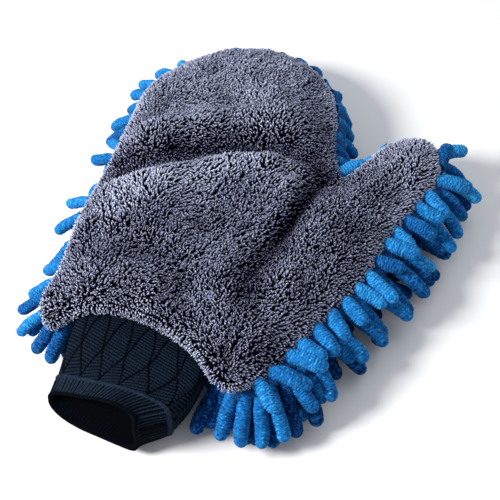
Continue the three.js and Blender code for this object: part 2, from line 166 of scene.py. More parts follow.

# Noodles that hang beside the cuff: root x and y, heading, first and last angle, length, and shading tone,
# painted shade for the cuff's shadow on them
CUFF_SIDE_NOODLES = [
    (-71, -97, -112, 70, 40, 26, -1.1), (-66, -98, -98, 60, 52, 26, -1.1),
    (-73, -90, -128, 78, 52, 26, -0.8), (-64, -92, -86, 40, 56, 27, -1.5),
    (33, -104, -88, 58, 50, 27, -0.5), (40, -104, -78, 66, 48, 27, -0.3),
    (28, -100, -96, 46, 52, 28, -1.2), (24, -101, -99, 54, 66, 31, -2.0),
    (23, -97, -97, 30, 62, 31, -2.2), (26, -94, -82, 32, 58, 28, -1.6),
    (47, -102, -66, 60, 44, 27, -0.2), (37, -98, -96, 30, 50, 28, -1.2),
    (43, -97, -83, 36, 64, 32, -1.8), (50, -95, -68, 40, 64, 32, -1.6),
    (56, -88, -58, 42, 66, 31, -1.9), (61, -79, -47, 40, 66, 32, -1.7),
]

# Edge seam: its section, as shares of the way from the outline to the pile, and heights.
SEAM_SECTION = [(0.0, 26.6), (0.02, 28.0), (0.35, 29.4), (0.9, 30.0), (1.0, 29.6), (0.95, 28.9),
                (0.35, 28.2), (0.08, 26.8)]
# The seam is open at the wrist: between these two places across and below this one.
SEAM_GAP = (-68, 36, -88)
STITCH_HEIGHT, STITCH_REACH, STITCH_RADIUS, STITCH_SLANT = 29.45, 1.3, 0.32, 0.35

# Cuff
ROOT = dict(x=-22, y=-89, z=31.8, wide=38, high=8.3)
END = dict(x=-29, y=-134, z=20.5, wide=29.5, high=14.5)
CUFF_LENGTH = 50.0
CUFF_STRAIGHT = 0.2
LOWER_LIP, RIGHT_LIP = 8.5, 5.5
SIDE_BULGE, SIDE_TUCK = 8.0, 13.0
CUFF_PRESS = 1.6
SECTION_POWER = 3.2
PLAIN_SECTION = (35.5, 12.0)
LEAF_WIDTH, LEAF_LEAN, GROOVE_DEPTH, GROOVE_WIDTH = 12.4, 0.3, 0.42, 0.48
RUNG_PITCH, RUNG_TILT, RUNG_HEIGHT = 1.65, 0.22, 0.16
STITCH_PITCH, STITCH_RELIEF = 1.5, 0.05
HEM_START = 0.8
HEM_RIB_PITCH, HEM_RIB_HEIGHT = 2.15, 0.42
INNER_REACH, ELASTIC_REACH = (0.02, 0.9), (0.55, 0.77)

# The hem's profile, as places along the cuff and depths inwards from its outside: a raised start, the
# ribbed band, the rolled rim and the way back inside.
HEM_STEPS = [(0.785, 0.2), (0.79, -0.55), (0.80, -0.95), (0.81, -0.75), (0.82, -0.35)]
HEM_STEPS += [(0.82 + 0.012 * k, -0.45) for k in range(1, 12)]
HEM_STEPS += [(0.962, -0.5), (0.972, -0.85), (0.985, -1.0), (0.996, -0.75), (1.002, 0.0), (1.0, 0.9),
              (0.99, 1.6), (0.97, 2.0), (0.93, 2.3), (0.88, 2.5), (0.83, 2.6)]
# Its steps from which the hem is in shade, the ribs stop, and fainter ones begin inside.
HEM_RIM, HEM_INSIDE, HEM_LINED = 17, 20, 23

# ---- small tools ----


def srgb(r, g, b):
    """A colour given on the usual 0-255 scale, as linear numbers."""
    out = []
    for value in (r, g, b):
        c = value / 255
        out.append(c / 12.92 if c <= 0.04045 else ((c + 0.055) / 1.055) ** 2.4)
    return (*out, 1.0)


def smoothstep(x, low, high):
    t = np.clip((np.asarray(x, float) - low) / (high - low), 0, 1)
    return t * t * (3 - 2 * t)


def normalised(v):
    return v / np.maximum(np.linalg.norm(v, axis=-1, keepdims=True), 1e-9)


def put(points):
    """Pattern millimetres to metres in the row frame."""
    return (np.asarray(points, float) + SHIFT) / 1000


def waves(seed, count, shortest, longest):
    """A smooth random field: call it with x and y to get values around -1 to 1."""
    own = np.random.default_rng(seed)
    angle = own.uniform(0, 2 * math.pi, count)
    length = np.exp(own.uniform(math.log(shortest), math.log(longest), count))
    phase = own.uniform(0, 2 * math.pi, count)
    kx = 2 * math.pi * np.cos(angle) / length
    ky = 2 * math.pi * np.sin(angle) / length

    def field(x, y):
        x, y = np.asarray(x, float)[..., None], np.asarray(y, float)[..., None]
        return np.sin(kx * x + ky * y + phase).sum(-1) / math.sqrt(count / 2) / 1.6

    return field


def add_object(name, data):
    obj = bpy.data.objects.new(name, data)
    bpy.context.scene.collection.objects.link(obj)
    return obj


def make_object(name, points, faces, materials, picks=None):
    """A mesh object from points in millimetres and lists of equal-sided face arrays."""
    mesh = bpy.data.meshes.new(name)
    mesh.vertices.add(len(points))
    mesh.vertices.foreach_set("co", put(points).astype(np.float32).ravel())
    loops = np.concatenate([f.ravel() for f in faces])
    sides = np.concatenate([np.full(len(f), f.shape[1]) for f in faces])
    mesh.loops.add(len(loops))
    mesh.loops.foreach_set("vertex_index", loops.astype(np.int32))
    mesh.polygons.add(len(sides))
    mesh.polygons.foreach_set("loop_start", (np.cumsum(sides) - sides).astype(np.int32))
    mesh.polygons.foreach_set("use_smooth", np.full(len(sides), True))
    for material in materials:
        mesh.materials.append(material)
    if picks is not None:
        mesh.polygons.foreach_set("material_index", np.asarray(picks, np.int32))
    mesh.update(calc_edges=True)
    mesh.validate()
    return add_object(name, mesh)


def grid_quads(rings, sides):
    """Quads between rings of points that close on themselves."""
    j, k = np.meshgrid(np.arange(rings - 1), np.arange(sides), indexing="ij")
    a, b = j * sides + k, j * sides + (k + 1) % sides
    return np.stack([a, b, b + sides, a + sides], axis=-1).reshape(-1, 4)


def tip_caps(rings, sides):
    """Triangles from the last of several rings to the one point that follows it."""
    last = (rings - 1) * sides
    return np.array([[last + k, last + (k + 1) % sides, last + sides] for k in range(sides)])


def repeated(points, *faces):
    """Points of many alike tubes as one list, with the faces of the first for all of them."""
    base = (np.arange(len(points)) * points[0].size // 3)[:, None, None]
    return points.reshape(-1, 3), *((base + own).reshape(-1, own.shape[1]) for own in faces)


# ---- outline ----


def closed_spline(points, step=None):
    """Centripetal Catmull-Rom through the points, resampled evenly if a step is given."""
    p = np.asarray(points, float)
    dense = []
    for i in range(len(p)):
        a, b, c, d = p[i - 1], p[i], p[(i + 1) % len(p)], p[(i + 2) % len(p)]
        ab, bc, cd = (max(np.linalg.norm(v) ** 0.5, 1e-6) for v in (b - a, c - b, d - c))
        start = ((b - a) / ab - (c - a) / (ab + bc) + (c - b) / bc) * bc
        finish = ((c - b) / bc - (d - b) / (bc + cd) + (d - c) / cd) * bc
        t = np.linspace(0, 1, 24, endpoint=False)[:, None]
        cubic = (2 * b - 2 * c + start + finish) * t ** 3
        square = (-3 * b + 3 * c - 2 * start - finish) * t ** 2
        dense.append(b + start * t + square + cubic)
    dense = np.vstack(dense)
    if step is None:
        return dense
    return resample(np.vstack([dense, dense[:1]]), step)[:-1]


def resample(line, step):
    length = np.concatenate([[0], np.cumsum(np.linalg.norm(np.diff(line, axis=0), axis=1))])
    count = max(int(round(length[-1] / step)), 2)
    at = np.linspace(0, length[-1], count + 1)
    return np.stack([np.interp(at, length, line[:, k]) for k in range(line.shape[1])], axis=1)


def outward(line):
    """Outward normals of an anticlockwise closed line."""
    tangent = normalised(np.roll(line, -1, axis=0) - np.roll(line, 1, axis=0))
    return np.stack([tangent[:, 1], -tangent[:, 0]], axis=1)


def inset_points(distance):
    """The outline's control points moved inwards, all alike or each by its own distance."""
    p = np.array(WRIST + SEWN, float)
    return p - outward(p) * np.reshape(distance, (-1, 1))


def inset_outline(distance, step=None):
    return closed_spline(inset_points(distance), step)


def staggered(low, high, spacing, row_pitch):
    """Points in rows between two corners, every other row moved by half a spacing."""
    rows = []
    for j, y in enumerate(np.arange(low[1], high[1], row_pitch)):
        x = np.arange(low[0] + (j % 2) * spacing / 2, high[0], spacing)
        rows.append(np.stack([x, np.full(len(x), y)], axis=1))
    return np.vstack(rows)


def line_distance(x, y, line, closed=False):
    """Distance from each point to a line of many points."""
    p = np.stack([np.ravel(x), np.ravel(y)], axis=1).astype(float)
    line = np.asarray(line, float)
    a = line if closed else line[:-1]
    b = np.roll(line, -1, axis=0) if closed else line[1:]
    best = np.full(len(p), np.inf)
    for start, end in zip(a, b):
        d = end - start
        t = np.clip(((p - start) @ d) / max(d @ d, 1e-9), 0, 1)
        best = np.minimum(best, np.hypot(*(p - start - t[:, None] * d).T))
    return best.reshape(np.shape(x))


def inside(x, y, line):
    x, y = np.asarray(x, float), np.asarray(y, float)
    result = np.zeros(x.shape, bool)
    for (ax, ay), (bx, by) in zip(line, np.roll(line, -1, axis=0)):
        if ay == by:
            continue
        crosses = (ay > y) != (by > y)
        result ^= crosses & (x < ax + (y - ay) * (bx - ax) / (by - ay))
    return result


OUTLINE = inset_outline(0, 1.5)
PILE_BORDER = inset_outline(PILE_INSETS, 1.5)
PILE_SEWN = inset_points(PILE_INSETS)[len(WRIST):]

# ---- heights ----


def swell(x, y, reach, border, sewn):
    """0 at the sewn edge, 1 well inside and through the wrist opening."""
    mouth = (x > WRIST[0][0] - MOUTH_MARGIN) & (x < WRIST[-1][0] + MOUTH_MARGIN) & (y < WRIST[2][1])
    open_here = inside(x, y, border) | mouth
    depth = np.where(open_here, line_distance(x, y, sewn), 0)
    return 1 - (1 - np.minimum(depth / reach, 1)) ** SWELL_POWER


def palm_under(x, y):
    return PALM_EDGE - PALM_SAG * swell(x, y, PALM_REACH, OUTLINE, SEWN)


soft_dents = waves(3, 9, 26, 70)
small_dents = waves(4, 12, 9, 20)


def side_of(x, y, line):
    """Above 0 where a point is on the left of a line."""
    best, side = np.full(np.shape(x), np.inf), np.zeros(np.shape(x))
    for a, b in zip(line[:-1], line[1:]):
        dx, dy = x - (a[0] + b[0]) / 2, y - (a[1] + b[1]) / 2
        near = np.hypot(dx, dy)
        cross = (b[0] - a[0]) * dy - (b[1] - a[1]) * dx
        side = np.where(near < best, cross, side)
        best = np.minimum(best, near)
    return side


def fold_height(x, y):
    total = np.zeros(np.shape(x))
    for height, left, right, line in FOLDS:
        line = resample(np.array(line, float), 4)
        distance = line_distance(x, y, line)
        width = np.where(side_of(x, y, line) > 0, left, right)
        ends = np.minimum(*(np.hypot(x - line[k][0], y - line[k][1]) for k in (0, -1)))
        fade = 0.35 + 0.65 * smoothstep(ends, 0, 22)
        total = total + height * fade * np.exp(-((distance / width) ** 2))
    return total


def back_top(x, y):
    """Top of the back's ground cloth, without its rolled border."""
    rise = swell(x, y, BACK_REACH, PILE_BORDER, PILE_SEWN)
    shape = BACK_EDGE + BACK_SWELL * rise - PILE_SINK
    calm = smoothstep(line_distance(x, y, PILE_BORDER, closed=True), 0, 13)
    loose = 1.1 * soft_dents(x, y) + 0.45 * small_dents(x, y) - 0.6
    return shape + calm * (fold_height(x, y) + loose)


def zone_of(x, y):
    """0 hand, 1 fingers, 2 thumb."""
    offset = np.stack([x, y], axis=-1) - THUMB_POINT
    thumb = (offset @ THUMB_ALONG > THUMB_SIDE) & (offset @ THUMB_ACROSS > THUMB_LINE)
    return np.where(thumb, 2, np.where(np.asarray(y) > KNUCKLE_LINE, 1, 0))


ZONES = ["hand", "fingers", "thumb"]


def fasten(obj, zone):
    """Ride on the hand, or keep the placement baked into the points for the wrist pieces, the fingers and
    the thumb.
    """
    if zone == 0:
        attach(obj, "hand")
    elif zone == "wrist":
        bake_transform(obj)
    elif zone == 1:
        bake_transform(obj)
    else:
        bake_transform(obj)


# ---- materials ----


def set_inputs(node, values):
    for name, value in values.items():
        node.inputs[name].default_value = value


def cloth_material(name, color, roughness, sheen=0.0, tint=(1, 1, 1, 1)):
    material = bpy.data.materials.new(name)
    material.use_nodes = True
    set_inputs(material.node_tree.nodes["Principled BSDF"], {
        "Base Color": color, "Roughness": roughness, "Specular IOR Level": 0.2,
        "Sheen Weight": sheen, "Sheen Roughness": 0.5, "Sheen Tint": tint,
    })
    return material


def shades(name, colors, dull, **finish):
    """Several plain shades of one yarn, lit and shaded copies for painting light and shade. The first few,
    for the darkest parts, have no sheen.
    """
    made = [cloth_material(f"{name}_{i}", srgb(*c), **finish) for i, c in enumerate(colors)]
    for material in made[:dull]:
        shader = material.node_tree.nodes["Principled BSDF"]
        set_inputs(shader, {"Sheen Weight": 0.0, "Specular IOR Level": 0.02})
    return made


def woven(name, dark, light, scale, bump, weave=0.0, shine=0.2):
    """Cloth with mottled colour, a thread texture and a matching bump."""
    material = cloth_material(name, srgb(*light), 0.85)
    nodes, links = material.node_tree.nodes, material.node_tree.links
    shader = nodes["Principled BSDF"]
    set_inputs(shader, {"Specular IOR Level": shine})
    place = nodes.new("ShaderNodeTexCoord")
    noise = nodes.new("ShaderNodeTexNoise")
    set_inputs(noise, {"Scale": scale, "Detail": 6})
    ramp = nodes.new("ShaderNodeValToRGB")
    for stop, color, position in zip(ramp.color_ramp.elements, (dark, light), (0.32, 0.68)):
        stop.color = srgb(*color)
        stop.position = position
    links.new(place.outputs["Object"], noise.inputs["Vector"])
    links.new(noise.outputs["Fac"], ramp.inputs["Fac"])
    links.new(ramp.outputs["Color"], shader.inputs["Base Color"])
    height = noise.outputs["Fac"]
    if weave:
        mesh = nodes.new("ShaderNodeTexVoronoi")
        set_inputs(mesh, {"Scale": weave, "Randomness": 0.25})
        both = nodes.new("ShaderNodeMath")
        both.operation = "ADD"
        links.new(place.outputs["Object"], mesh.inputs["Vector"])
        links.new(mesh.outputs["Distance"], both.inputs[0])
        links.new(noise.outputs["Fac"], both.inputs[1])
        height = both.outputs["Value"]
    relief = nodes.new("ShaderNodeBump")
    set_inputs(relief, {"Strength": bump, "Distance": 0.0006})
    links.new(height, relief.inputs["Height"])
    links.new(relief.outputs["Normal"], shader.inputs["Normal"])
    return material


# Six shades of the pile's grey from near black to pale: lit and shaded copies of one yarn, for painted
# light and shade on the fibres.
PILE_PAINTED_SHADES = shades("pile", [
    (1, 2, 12), (12, 14, 34), (68, 72, 98), (127, 132, 160), (167, 173, 200), (203, 210, 234),
], dull=2, roughness=0.95, sheen=0.12)
# Five shades of the noodles' blue: lit and shaded copies of one yarn, for painted light and shade on the
# grain and tiers.
NOODLE_PAINTED_SHADES = shades("noodle", [
    (0, 34, 80), (2, 58, 116), (8, 88, 152), (18, 112, 180), (54, 148, 210),
], dull=1, roughness=0.95, sheen=0.22, tint=(0.1, 0.5, 1.0, 1))
# Painted shade: the pile's ground cloth is near black, for the shade in the gaps between the fibres.
GROUND = woven("pile_ground", (2, 3, 12), (10, 11, 24), 900, 0.6, shine=0.02)
PALM_GROUND = woven("palm_ground", (8, 46, 92), (18, 80, 140), 500, 0.7, weave=700)
LINING = woven("lining_mesh", (26, 30, 36), (52, 58, 68), 600, 0.6, weave=620)
KNIT = woven("cuff_knit", (6, 13, 22), (22, 34, 48), 1400, 0.4, shine=0.03)
KNIT_RIB = woven("cuff_rib", (10, 18, 28), (32, 46, 62), 1400, 0.4, shine=0.03)
# Painted shade: a darker copy of the knit for its grooves, the hem's rib valleys and its rim.
KNIT_SHADED = woven("cuff_knit_shaded", (1, 2, 6), (4, 8, 15), 1400, 0.4, shine=0.02)
# Painted shade: the inner layer is near black for the shade inside the cuff.
KNIT_INSIDE = woven("cuff_inside", (1, 2, 4), (4, 6, 9), 1400, 0.5, shine=0.02)
ELASTIC = woven("elastic_band", (30, 32, 36), (58, 60, 66), 1800, 0.5, weave=900)
THREAD = woven("seam_thread", (22, 24, 36), (52, 55, 74), 1500, 0.4)

# ---- cloth panels ----


def triangulate(border, spacing):
    """Even triangles inside a border, split along the lines where the pieces meet."""
    grid = staggered(border.min(0), border.max(0), spacing, spacing * ROW_SHARE)
    keep = inside(*grid.T, border)
    keep &= line_distance(*grid.T, border, closed=True) > spacing * 0.6
    knuckle = resample(np.array([[-110.0, KNUCKLE_LINE], [39.0, KNUCKLE_LINE]]), spacing)
    corner = THUMB_POINT + THUMB_ALONG * THUMB_SIDE + THUMB_ACROSS * THUMB_LINE
    top = THUMB_POINT + THUMB_ALONG * THUMB_SIDE + THUMB_ACROSS * 3
    far = corner + THUMB_ALONG * 80
    thumb = resample(np.array([top, corner, far]), spacing)
    keep &= line_distance(*grid.T, knuckle) > spacing * 0.45
    keep &= line_distance(*grid.T, thumb) > spacing * 0.45
    points, edges = [], []
    for line, closed in ((border, True), (knuckle, False), (thumb, False)):
        first = len(points)
        points.extend(line.tolist())
        edges.extend((first + i, first + i + 1) for i in range(len(line) - 1))
        if closed:
            edges.append((first + len(line) - 1, first))
    points.extend(grid[keep].tolist())
    done = delaunay_2d_cdt([Vector(p) for p in points], edges, [], 0, 1e-4)
    flat = np.array([tuple(v) for v in done[0]])
    faces = np.array([f for f in done[2]], int)
    middle = flat[faces].mean(axis=1)
    return flat, faces[inside(*middle.T, border)]


def part_of(flat, faces, wanted):
    middle = flat[faces].mean(axis=1)
    own = faces[zone_of(*middle.T) == wanted]
    used, renumbered = np.unique(own, return_inverse=True)
    return used, renumbered.reshape(own.shape)


def thicken(obj, thickness):
    """Gives a sheet its thickness, downwards from its points."""
    modifier = obj.modifiers.new("thickness", "SOLIDIFY")
    modifier.thickness = thickness / 1000
    modifier.offset = -1
    ready = obj.evaluated_get(bpy.context.evaluated_depsgraph_get())
    mesh = bpy.data.meshes.new_from_object(ready)
    obj.modifiers.clear()
    obj.data = mesh


def add_panel(name, border, spacing, height, material, thickness, replaced):
    """One cloth panel in three pieces: hand, fingers and thumb."""
    flat, faces = triangulate(border, spacing)
    z = height(*flat.T)
    for zone, word in enumerate(ZONES):
        used, own = part_of(flat, faces, zone)
        points = np.column_stack([flat[used], z[used]])
        obj = make_object(f"{name}_{word}", points, [own], [material])
        thicken(obj, thickness)
        fasten(obj, "wrist" if name == "back_cloth" and zone == 0 else zone)
        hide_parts(*replaced[zone])


def back_ground(x, y):
    """Ground cloth of the back with its border rolled down to the seam."""
    edge = line_distance(x, y, PILE_BORDER, closed=True)
    short = np.clip(1 - edge / PILE_ROLL, 0, 1)
    return back_top(x, y) - PILE_ROLL * (1 - np.sqrt(np.clip(1 - short ** 2, 0, 1)))


# ---- pile ----

swirl_a, swirl_b = waves(11, 10, 45, 110), waves(12, 18, 6, 13)
bright_patches = waves(13, 10, 18, 60)


def towards_fingertips(x, y):
    """0 on the hand and 1 at the fingertips, where the pile is thicker and has painted light."""
    return smoothstep(y - 0.45 * x, 60, 110)


def pile_roots():
    """Root points, normals, how near the border each fibre stands and which way the border is."""
    spots = staggered(PILE_BORDER.min(0), PILE_BORDER.max(0), PILE_PITCH, PILE_PITCH * ROW_SHARE)
    spots = spots + rng.uniform(-0.3, 0.3, spots.shape) * PILE_PITCH
    edge = line_distance(*spots.T, PILE_BORDER, closed=True)
    keep = inside(*spots.T, PILE_BORDER) & (edge > PILE_ROLL * 0.8)
    spots, edge = spots[keep], edge[keep]
    z = back_ground(*spots.T)
    step = 0.6
    dx = (back_ground(spots[:, 0] + step, spots[:, 1]) - z) / step
    dy = (back_ground(spots[:, 0], spots[:, 1] + step) - z) / step
    normal = normalised(np.column_stack([-dx, -dy, np.ones(len(z))]))
    line = resample(np.vstack([PILE_BORDER, PILE_BORDER[:1]]), PILE_PITCH)[:-1]
    out = outward(line)
    pull = np.array([np.exp(-((line - spot) ** 2).sum(1) / BORDER_PULL) @ out for spot in spots])
    roots, normals, borders = [np.column_stack([spots, z])], [normal], [np.clip(edge / 14, 0, 1)]
    outs = [normalised(pull)]
    along = np.column_stack([-out[:, 1], out[:, 0]])
    for turn in np.radians(ROLLED_ROWS):
        jitter = rng.uniform(-0.4, 0.4, (len(line), 1)) * PILE_PITCH
        at = line + along * jitter - out * PILE_ROLL * (1 - math.cos(turn))
        top = back_top(*at.T) - PILE_ROLL * (1 - math.sin(turn))
        roots.append(np.column_stack([at, top]))
        normals.append(np.column_stack([out * math.cos(turn), np.full(len(line), math.sin(turn))]))
        borders.append(np.full(len(line), ROLLED))
        outs.append(out)
    return np.vstack(roots), np.vstack(normals), np.concatenate(borders), np.vstack(outs)


def lean_of(roots, normals, borders, outs):
    """Which way each fibre leans: slow swirls, small clumps and outwards at the border."""
    x, y = roots[:, 0], roots[:, 1]
    turn = 1.0 * swirl_a(x, y) + 0.45 * swirl_b(x, y) + rng.normal(0, 0.45, len(x)) + 1.2
    flat = np.column_stack([np.cos(turn), np.sin(turn), np.zeros(len(x))])
    flat[borders < 0, 2] -= 0.3
    flat[:, :2] += outs * (1.7 * (1 - np.clip(borders, 0, 1)))[:, None]
    flat = flat - normals * (flat * normals).sum(1, keepdims=True)
    return normalised(flat)


def fibres(roots, normals, leans, bend, length, radius):
    """Curved tapering fibres as one set of points, quads and end caps, and each quad's ring."""
    side = normalised(np.cross(normals, leans))
    rings = []
    for step, swell_here in zip(FIBRE_STEPS, FIBRE_RADII):
        turn = (bend * step)[:, None]
        axis = normals * np.cos(turn) + leans * np.sin(turn)
        middle = roots + axis * (length * step)[:, None]
        up = np.cross(side, axis)
        for k in range(FIBRE_SIDES):
            angle = 2 * math.pi * k / FIBRE_SIDES
            spread = side * math.cos(angle) * 1.1 + up * math.sin(angle) * 0.9
            rings.append(middle + spread * (radius * swell_here)[:, None])
    axis = normals * np.cos(bend)[:, None] + leans * np.sin(bend)[:, None]
    rings.append(roots + axis * length[:, None])
    quads = grid_quads(len(FIBRE_STEPS), FIBRE_SIDES)
    caps = tip_caps(len(FIBRE_STEPS), FIBRE_SIDES)
    return *repeated(np.stack(rings, axis=1), quads, caps), np.arange(len(quads)) // FIBRE_SIDES


def bundled(roots, normals, borders, outs):
    """Splits each root into a few fibres side by side whose tips lean together."""
    leans = lean_of(roots, normals, borders, outs)
    side = normalised(np.cross(normals, leans))
    wide = 1 + 0.35 * towards_fingertips(roots[:, 0], roots[:, 1])
    parts = []
    for offset in BUNDLE:
        shift = (offset * wide)[:, None] + rng.normal(0, 0.06, (len(roots), 1))
        at = roots + side * shift + leans * rng.normal(0, 0.2, (len(roots), 1))
        parts.append((at, normals, normalised(leans - side * shift * 0.3), borders))
    return [np.concatenate(v) for v in zip(*parts)]


def pile_light(x, y, borders):
    """How light each fibre is: painted highlight on crests and painted shade in valleys, painted light on
    the fingertips and at the border, and lighter on the thumb.
    """
    # Painted highlight on the folds' crests and painted shade in their valleys.
    fold_light = np.clip(fold_height(x, y) / 9, -0.6, 1)
    thumb = smoothstep(x + 0.6 * y, 60, 150) * (zone_of(x, y) == 2)
    light = LIGHT_BASE + LIGHT_PATCHES * bright_patches(x, y) + PAINTED_FINGERTIP_LIGHT * towards_fingertips(x, y)
    light = light + PAINTED_FOLD_LIGHT * fold_light + LIGHT_THUMB * thumb + PAINTED_BORDER_SHEEN * (borders < 0)
    # Painted sheen: the pile is lighter on the rolled rows and near the border.
    light = light + PAINTED_BORDER_SHEEN * (1 - np.clip(borders * 2, 0, 1))
    return light + rng.normal(0, LIGHT_GRAIN, len(x))


def pile_groups(x, y):
    """Name, zone and members of each piece of pile."""
    zones = zone_of(x, y)
    for zone, word in enumerate(ZONES):
        edges = [-200, *PILE_BANDS[word], 200]
        for k, (low, high) in enumerate(zip(edges[:-1], edges[1:])):
            yield f"{word}_{k + 1}", zone, (zones == zone) & (y >= low) & (y < high)


def add_pile():
    roots, normals, leans, borders = bundled(*pile_roots())
    x, y = roots[:, 0], roots[:, 1]
    rolled = borders < 0
    bend = np.radians(rng.normal(*PILE_BEND, len(x)))
    bend = np.where(rolled, np.radians(rng.uniform(*ROLLED_BEND, len(x))), bend)
    length = PILE_LENGTH * rng.uniform(*LENGTH_RANGE, len(x))
    length = np.where(rolled, length * ROLLED_SHARE, length)
    radius = PILE_RADIUS * rng.uniform(*RADIUS_RANGE, len(x)) * (1 + 0.2 * towards_fingertips(x, y))
    light = pile_light(x, y, borders)
    made = [[] for _ in ZONES]
    for name, zone, own in pile_groups(x, y):
        shape = [values[own] for values in (roots, normals, leans, bend, length, radius)]
        points, quads, caps, ring = fibres(*shape)
        # Painted shade and light: each fibre's root ring takes the near-black shade of the pile's depths,
        # its middle a mid shade and its tip a light one.
        middle = np.clip(np.round(0.75 + 2.0 * light[own]), 1, 4).astype(int)
        tip = np.clip(np.round(2.5 + 2.2 * light[own]), 2, 5).astype(int)
        quad_shade = np.where(ring[None, :] == 0, 0, middle[:, None]).ravel()
        obj = make_object(f"pile_{name}", points, [quads, caps], PILE_PAINTED_SHADES,
                          np.concatenate([quad_shade, np.repeat(tip, FIBRE_SIDES)]))
        fasten(obj, "wrist" if name == "hand_1" else zone)
        made[zone].append(obj)
    return made


# ---- noodles ----


def noodle_paths(noodles, share):
    """Middle lines and directions at each share of the noodles' length, and which way is sideways."""
    heading = noodles["heading"]
    n, rings = len(heading), len(share)
    path, along = np.zeros((n, rings, 3)), np.zeros((n, rings, 3))
    path[:, 0] = noodles["root"]
    flat = np.column_stack([np.cos(heading), np.sin(heading), np.zeros(n)])
    side = np.column_stack([-np.sin(heading), np.cos(heading), np.zeros(n)])
    for j in range(rings):
        tilt = noodles["first"] + (noodles["last"] - noodles["first"]) * share[j]
        along[:, j] = flat * np.sin(tilt)[:, None] - np.array([0, 0, 1]) * np.cos(tilt)[:, None]
        along[:, j] += side * (noodles["sway"] * (share[j] - 0.3))[:, None]
        along[:, j] = normalised(along[:, j])
        if j:
            step = (share[j] - share[j - 1]) * noodles["length"]
            path[:, j] = path[:, j - 1] + along[:, j] * step[:, None]
            path[:, j, 2] = np.maximum(path[:, j, 2], noodles["radius"] * 0.97)
    return path, along, side


def noodle_mesh(noodles, seed, rings, sides, grain):
    """Soft granular noodles that leave the palm at one angle from straight down and end at another."""
    own = np.random.default_rng(seed)
    lengths, radii, shading_tones = noodles["length"], noodles["radius"], noodles["shading_tone"]
    n = len(lengths)
    tip_rings = 9 if rings > 30 else 5
    round_part = np.sin(np.radians(np.linspace(0, 84, tip_rings)))
    share = np.concatenate([np.linspace(0, TIP_START, rings - tip_rings, endpoint=False),
                            TIP_START + TIP_SHARE * round_part])
    path, along, side = noodle_paths(noodles, share)
    cross = normalised(side[:, None] - along * (side[:, None] * along).sum(-1, keepdims=True))
    up = np.cross(cross, along)
    left = (1 - share) * lengths[:, None]
    round_tip = np.clip(1 - left / (radii[:, None] * 1.05), 0, 1)
    profile = np.sqrt(np.clip(1 - round_tip ** 2, 0, 1)) * (0.9 + 0.1 * np.sin(share * math.pi))
    angle = 2 * math.pi * np.arange(sides) / sides
    rough = own.uniform(-1, 1, (n, rings, sides))
    phase = own.uniform(0, 2 * math.pi, (n, 1, sides)) * 0.6
    ringed = np.cos(2 * math.pi * share[:, None] * lengths[:, None, None] / GRAIN_PITCH + phase)
    lumps = np.sin(share[:, None] * 9 + own.uniform(0, 6, (n, 1, 1)) + angle)
    relief = grain * (0.5 * rough + 0.45 * ringed)
    profile = profile[:, :, None]
    radius = radii[:, None, None] * profile * (1 + 0.06 * lumps) + relief * profile
    points = (path[:, :, None] + cross[:, :, None] * (radius * np.cos(angle))[..., None]
              + up[:, :, None] * (radius * np.sin(angle))[..., None])
    tip = path[:, -1] + along[:, -1] * (radii * 0.02)[:, None]
    points = np.concatenate([points.reshape(n, -1, 3), tip[:, None]], axis=1)
    points[:, :, 2] = np.maximum(points[:, :, 2], 0.02)
    quads = grid_quads(rings, sides)[:, [0, 3, 2, 1]]
    # Painted shade and light: quads low in the grain take darker shades and raised ones lighter, on top of
    # each noodle's shading tone and a random spread.
    quad_height = (relief.reshape(n, -1) / grain)[:, quads].mean(axis=2)
    shade = 2.4 + 2.5 * quad_height + shading_tones[:, None] + own.normal(0, 0.45, quad_height.shape)
    quad_pick = np.clip(np.round(shade), 0, 4).astype(int).ravel()
    cap_pick = np.repeat(np.clip(np.round(2.2 + shading_tones), 0, 4).astype(int), sides)
    return *repeated(points, quads, tip_caps(rings, sides)[:, [0, 2, 1]]), quad_pick, cap_pick


def row_names(x, y):
    """The CAD row that each noodle's root belongs to."""
    names = []
    for px, py, zone in zip(x, y, zone_of(x, y)):
        if zone == 0 and py < WRIST_ROW + ROW_PITCH / 2:
            names.append("hand_12" if px < -20 else "hand_13")
            continue
        levels = (HAND_ROWS, FINGER_ROWS, THUMB_ROWS)[zone]
        nearest = int(np.argmin([abs(py - level) for level in levels]))
        names.append(f"{ZONES[zone]}_{nearest + 1:02d}")
    return np.array(names)


def inner_noodles():
    """Rows under the palm, pressed by the mitt's weight."""
    spots = staggered((-100, -103), (100, 132), INNER_PITCH, INNER_PITCH)
    spots = spots + rng.uniform(-ROOT_JITTER, ROOT_JITTER, spots.shape)
    edge = line_distance(*spots.T, OUTLINE, closed=True)
    keep = inside(*spots.T, OUTLINE) & (edge > INNER_EDGE_GAP)
    keep &= line_distance(*spots.T, WRIST) >= INNER_WRIST_GAP
    spots = spots[keep]
    n = len(spots)
    return dict(
        root=np.column_stack([spots, palm_under(*spots.T) + ROOT_LIFT]),
        heading=rng.uniform(0, 2 * math.pi, n), first=np.radians(rng.uniform(5, 30, n)),
        last=np.radians(rng.uniform(30, 70, n)), length=NOODLE_LENGTH * rng.uniform(0.92, 1.05, n),
        # Painted shade: the noodles under the mitt are all darker.
        shading_tone=np.full(n, -0.8),
    )


def splay(out):
    """How far the noodles spread, from 0 to 1, by the side of the mitt that they are on."""
    front = smoothstep(out[:, 0] * 0.75 - out[:, 1] * 0.66, -0.5, 0.35)
    tips = smoothstep(out[:, 1], 0.45, 0.95)
    return (0.68 + 0.32 * front) * (1 - 0.4 * tips)


def tucked(spot, out):
    """1 for the noodles in the gap between the fingers and the thumb, which hang close."""
    away = GAP_MIDDLE - spot
    distance = np.hypot(*away.T)
    towards = (out * away).sum(1) / np.maximum(distance, 1)
    return (1 - smoothstep(distance, 42, 56)) * smoothstep(towards, -0.1, 0.4)


